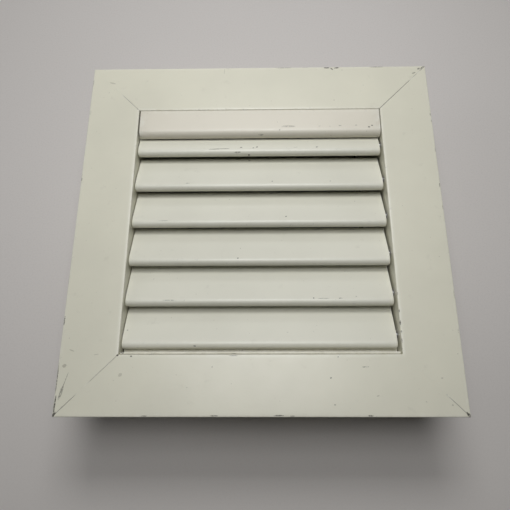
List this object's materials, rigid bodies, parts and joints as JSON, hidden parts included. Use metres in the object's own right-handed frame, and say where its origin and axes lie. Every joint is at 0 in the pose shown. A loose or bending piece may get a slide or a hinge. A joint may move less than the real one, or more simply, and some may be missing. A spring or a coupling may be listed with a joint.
{
  "type": "louvred air grille",
  "caption": "Square louvred air grille: a wide mitred flange, a short neck with spring clips, and round-nosed blades that tilt together.",
  "frame": {"origin": "centre of the neck's rear rim, with the grille lying face up on it", "axes": "+Z out of the face, +Y towards the top rail, +X to the right seen from the front"},
  "size_m": [0.2, 0.2, 0.06],
  "materials": {
    "paint": "satin greenish off-white stove enamel on aluminium extrusion",
    "aluminium": "plain, matt",
    "spring_steel": "plain rolled strip",
    "white_nylon": "moulded",
    "grey_nylon": "moulded",
    "steel": "zinc plated"
  },
  "bodies": {
    "frame": {"rail_top": "paint", "rail_bottom": "paint", "rail_left": "paint", "rail_right": "paint", "head_strip": "paint", "sill_strip": "paint", "corner_cleat_top_right": "aluminium", "corner_cleat_top_left": "aluminium", "corner_cleat_bottom_left": "aluminium", "corner_cleat_bottom_right": "aluminium", "head_rivet_left": "aluminium", "head_rivet_right": "aluminium", "sill_rivet_left": "aluminium", "sill_rivet_right": "aluminium", "spring_rivet_left_upper": "aluminium", "spring_rivet_left_lower": "aluminium", "spring_rivet_right_upper": "aluminium", "spring_rivet_right_lower": "aluminium", "spring_clip_left_upper": "spring_steel", "spring_clip_left_lower": "spring_steel", "spring_clip_right_upper": "spring_steel", "spring_clip_right_lower": "spring_steel", "bush_1_left": "white_nylon", "bush_1_right": "white_nylon", "bush_2_left": "white_nylon", "bush_2_right": "white_nylon", "bush_3_left": "white_nylon", "bush_3_right": "white_nylon", "bush_4_left": "white_nylon", "bush_4_right": "white_nylon", "bush_5_left": "white_nylon", "bush_5_right": "white_nylon", "bush_6_left": "white_nylon", "bush_6_right": "white_nylon"},
    "louvre_1": {"blade_1": "paint", "spindle_1": "steel", "link_clip_1": "grey_nylon"},
    "louvre_2": {"blade_2": "paint", "spindle_2": "steel", "link_clip_2": "grey_nylon"},
    "louvre_3": {"blade_3": "paint", "spindle_3": "steel", "link_clip_3": "grey_nylon"},
    "louvre_4": {"blade_4": "paint", "spindle_4": "steel", "link_clip_4": "grey_nylon"},
    "louvre_5": {"blade_5": "paint", "spindle_5": "steel", "link_clip_5": "grey_nylon"},
    "louvre_6": {"blade_6": "paint", "spindle_6": "steel", "link_clip_6": "grey_nylon"},
    "tie_bar": {"tie_bar": "grey_nylon"}
  },
  "joints": [
    {"name": "louvre_1_tilt", "type": "hinge", "parent": "frame", "child": "louvre_1", "pos_m": [0, 0.04975, 0.0534], "axis": [-1, 0, 0], "range_deg": [-2.5, 67.5]},
    {"name": "louvre_2_tilt", "type": "hinge", "parent": "frame", "child": "louvre_2", "pos_m": [0, 0.02775, 0.0534], "axis": [-1, 0, 0], "range_deg": [-2.5, 67.5]},
    {"name": "louvre_3_tilt", "type": "hinge", "parent": "frame", "child": "louvre_3", "pos_m": [0, 0.00575, 0.0534], "axis": [-1, 0, 0], "range_deg": [-2.5, 67.5]},
    {"name": "louvre_4_tilt", "type": "hinge", "parent": "frame", "child": "louvre_4", "pos_m": [0, -0.01625, 0.0534], "axis": [-1, 0, 0], "range_deg": [-2.5, 67.5]},
    {"name": "louvre_5_tilt", "type": "hinge", "parent": "frame", "child": "louvre_5", "pos_m": [0, -0.03825, 0.0534], "axis": [-1, 0, 0], "range_deg": [-2.5, 67.5]},
    {"name": "louvre_6_tilt", "type": "hinge", "parent": "frame", "child": "louvre_6", "pos_m": [0, -0.06025, 0.0534], "axis": [-1, 0, 0], "range_deg": [-2.5, 67.5]},
    {"name": "tie_bar_pivot", "type": "hinge", "parent": "louvre_1", "child": "tie_bar", "pos_m": [0.0588, 0.06583, 0.0415], "axis": [-1, 0, 0], "range_deg": [-67.5, 2.5]}
  ],
  "couplings": [
    {"joint": "louvre_2_tilt", "follows": "louvre_1_tilt", "ratio": 1},
    {"joint": "louvre_3_tilt", "follows": "louvre_1_tilt", "ratio": 1},
    {"joint": "louvre_4_tilt", "follows": "louvre_1_tilt", "ratio": 1},
    {"joint": "louvre_5_tilt", "follows": "louvre_1_tilt", "ratio": 1},
    {"joint": "louvre_6_tilt", "follows": "louvre_1_tilt", "ratio": 1},
    {"joint": "tie_bar_pivot", "follows": "louvre_1_tilt", "ratio": -1}
  ]
}
